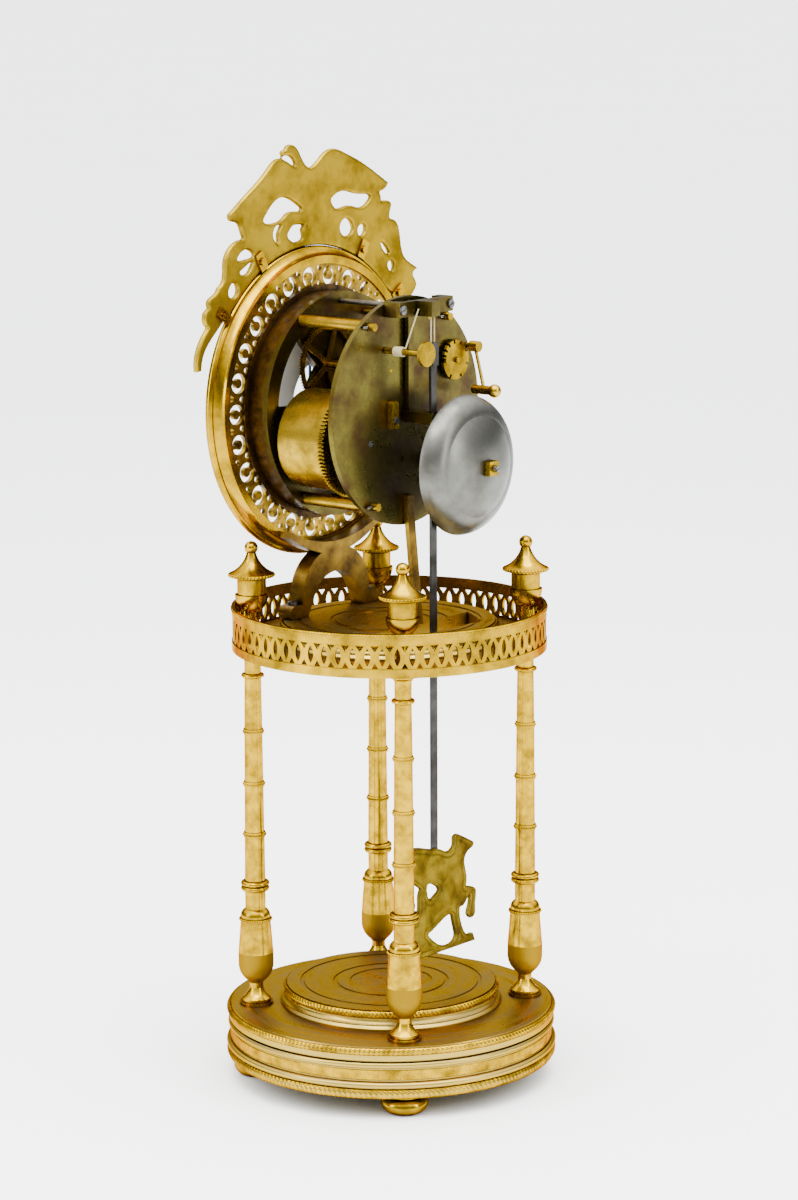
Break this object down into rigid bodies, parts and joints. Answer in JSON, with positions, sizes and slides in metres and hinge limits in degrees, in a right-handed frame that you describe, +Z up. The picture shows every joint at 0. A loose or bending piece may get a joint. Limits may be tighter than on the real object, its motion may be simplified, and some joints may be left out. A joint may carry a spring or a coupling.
{
  "type": "portico table clock",
  "caption": "Portico clock: round base and gallery on four columns, open two-barrel movement with bell, round pierced dial with crest, silk-hung pendulum.",
  "frame": {"origin": "on the floor under the middle of the base", "axes": "+Z up, dial faces -Y, +X to the right seen from the dial"},
  "size_m": [0.1646, 0.16, 0.4471],
  "materials": {
    "gilt_bright": "burnished gilding with wear",
    "gilt_matte": "matte gilding",
    "aged_brass": "aged brass",
    "plate_brass": "tarnished brass",
    "dark_bronze": "dark patina",
    "steel": "polished steel",
    "blued_steel": "blued steel",
    "rod_steel": "dark steel",
    "spring_steel": "spring steel",
    "bell_metal": "satin bell metal",
    "enamel": "white enamel",
    "silk": "twisted silk"
  },
  "bodies": {
    "case": {"arch_foot": "aged_brass", "back_plate": "plate_brass", "base_plinth": "gilt_bright", "base_step": "gilt_bright", "base_underplate": "plate_brass", "bell": "bell_metal", "bell_nut": "aged_brass", "bell_post": "steel", "bezel": "gilt_bright", "chapter_ring": "enamel", "column_left_front": "gilt_bright", "column_left_rear": "gilt_bright", "column_right_front": "gilt_bright", "column_right_rear": "gilt_bright", "crest_clips": "gilt_bright", "detent_block": "aged_brass", "dial_pan": "dark_bronze", "eagle_crest": "gilt_matte", "feet": "gilt_bright", "finials": "gilt_bright", "foot_screws": "steel", "front_plate": "plate_brass", "gallery_band": "gilt_bright", "gallery_disc": "gilt_matte", "gallery_floor": "gilt_matte", "pillar_pins": "steel", "pillars": "aged_brass", "rear_strut": "aged_brass", "scroll_fret": "dark_bronze", "silk_thread": "silk", "suspension_cock": "aged_brass", "tie_rods": "gilt_bright"},
    "centre_arbor": {"centre_wheel": "aged_brass", "cannon_pinion": "aged_brass", "minute_hand": "blued_steel"},
    "hour_pipe": {"hour_wheel": "aged_brass", "hour_hand": "blued_steel"},
    "minute_wheel_set": {"minute_wheel": "aged_brass"},
    "going_drum": {"going_barrel": "aged_brass", "going_mainspring": "spring_steel"},
    "third_arbor": {"third_wheel": "aged_brass"},
    "escape_arbor": {"escape_wheel": "aged_brass"},
    "pallet_arbor": {"pallets": "steel", "crutch": "aged_brass"},
    "pendulum": {"pendulum_rod": "rod_steel", "pendulum_bob": "gilt_matte", "silk_loop": "silk"},
    "going_winder": {"going_winding_arbor": "steel"},
    "strike_winder": {"strike_winding_arbor": "steel"},
    "going_pawl": {"going_click": "steel"},
    "strike_pawl": {"strike_click": "steel"},
    "strike_drum": {"strike_barrel": "aged_brass", "strike_mainspring": "spring_steel"},
    "pin_arbor": {"pin_wheel": "aged_brass"},
    "stop_arbor": {"stop_wheel": "aged_brass"},
    "fly_arbor": {"fly": "aged_brass"},
    "count_arbor": {"count_wheel": "aged_brass"},
    "hammer_arbor": {"hammer": "aged_brass", "hammer_head": "aged_brass"},
    "regulator": {"regulator_arbor": "aged_brass"}
  },
  "joints": [
    {"name": "minute_turn", "type": "hinge", "parent": "case", "child": "centre_arbor", "pos_m": [0, -0.01, 0.3245], "axis": [0, 1, 0], "continuous": true},
    {"name": "hour_turn", "type": "hinge", "parent": "case", "child": "hour_pipe", "pos_m": [0, -0.042, 0.3245], "axis": [0, 1, 0], "continuous": true},
    {"name": "minute_wheel_turn", "type": "hinge", "parent": "case", "child": "minute_wheel_set", "pos_m": [0, -0.037, 0.3365], "axis": [0, 1, 0], "continuous": true},
    {"name": "going_barrel_turn", "type": "hinge", "parent": "case", "child": "going_drum", "pos_m": [0.0264, -0.012, 0.31156], "axis": [0, 1, 0], "continuous": true},
    {"name": "third_turn", "type": "hinge", "parent": "case", "child": "third_arbor", "pos_m": [0.0115, -0.01, 0.34442], "axis": [0, 1, 0], "continuous": true},
    {"name": "escape_turn", "type": "hinge", "parent": "case", "child": "escape_arbor", "pos_m": [0, -0.01, 0.3627], "axis": [0, 1, 0], "continuous": true},
    {"name": "pendulum_swing", "type": "hinge", "parent": "case", "child": "pendulum", "pos_m": [0, 0.027, 0.3735], "axis": [0, 1, 0], "range_deg": [-3, 3]},
    {"name": "pallet_swing", "type": "hinge", "parent": "case", "child": "pallet_arbor", "pos_m": [0, -0.005, 0.3735], "axis": [0, 1, 0], "range_deg": [-4, 4]},
    {"name": "going_winding", "type": "hinge", "parent": "case", "child": "going_winder", "pos_m": [0.0264, -0.015, 0.31156], "axis": [0, 1, 0], "continuous": true},
    {"name": "strike_winding", "type": "hinge", "parent": "case", "child": "strike_winder", "pos_m": [-0.0264, -0.015, 0.31156], "axis": [0, 1, 0], "continuous": true},
    {"name": "going_click_lift", "type": "hinge", "parent": "case", "child": "going_pawl", "pos_m": [0.03807, -0.033, 0.30584], "axis": [0, -1, 0], "range_deg": [0, 12], "stiffness_Nm_per_rad": 0.002},
    {"name": "strike_click_lift", "type": "hinge", "parent": "case", "child": "strike_pawl", "pos_m": [-0.03807, -0.033, 0.30584], "axis": [0, 1, 0], "range_deg": [0, 12], "stiffness_Nm_per_rad": 0.002},
    {"name": "strike_barrel_turn", "type": "hinge", "parent": "case", "child": "strike_drum", "pos_m": [-0.0264, -0.012, 0.31156], "axis": [0, 1, 0], "continuous": true},
    {"name": "pin_turn", "type": "hinge", "parent": "case", "child": "pin_arbor", "pos_m": [-0.01888, -0.01, 0.33936], "axis": [0, 1, 0], "continuous": true},
    {"name": "stop_turn", "type": "hinge", "parent": "case", "child": "stop_arbor", "pos_m": [-0.01489, -0.01, 0.35413], "axis": [0, 1, 0], "continuous": true},
    {"name": "fly_turn", "type": "hinge", "parent": "case", "child": "fly_arbor", "pos_m": [-0.01709, -0.01, 0.36674], "axis": [0, 1, 0], "continuous": true},
    {"name": "count_turn", "type": "hinge", "parent": "case", "child": "count_arbor", "pos_m": [-0.03328, -0.01, 0.34537], "axis": [0, 1, 0], "continuous": true},
    {"name": "hammer_swing", "type": "hinge", "parent": "case", "child": "hammer_arbor", "pos_m": [-0.0435, -0.005, 0.351], "axis": [0, 1, 0], "range_deg": [-7, 25], "stiffness_Nm_per_rad": 0.05},
    {"name": "regulator_turn", "type": "hinge", "parent": "case", "child": "regulator", "pos_m": [0.0156, 0.02, 0.3544], "axis": [0, 1, 0], "continuous": true}
  ],
  "couplings": [
    {"joint": "hour_turn", "follows": "minute_turn", "ratio": 0.083333},
    {"joint": "minute_wheel_turn", "follows": "minute_turn", "ratio": -0.33333},
    {"joint": "going_barrel_turn", "follows": "minute_turn", "ratio": -0.16667},
    {"joint": "third_turn", "follows": "minute_turn", "ratio": -10.5},
    {"joint": "escape_turn", "follows": "minute_turn", "ratio": 115.5},
    {"joint": "pallet_swing", "follows": "pendulum_swing", "ratio": 1},
    {"joint": "pin_turn", "follows": "strike_barrel_turn", "ratio": -7},
    {"joint": "stop_turn", "follows": "strike_barrel_turn", "ratio": 52.5},
    {"joint": "fly_turn", "follows": "strike_barrel_turn", "ratio": -367.5},
    {"joint": "count_turn", "follows": "strike_barrel_turn", "ratio": -2.7097}
  ]
}
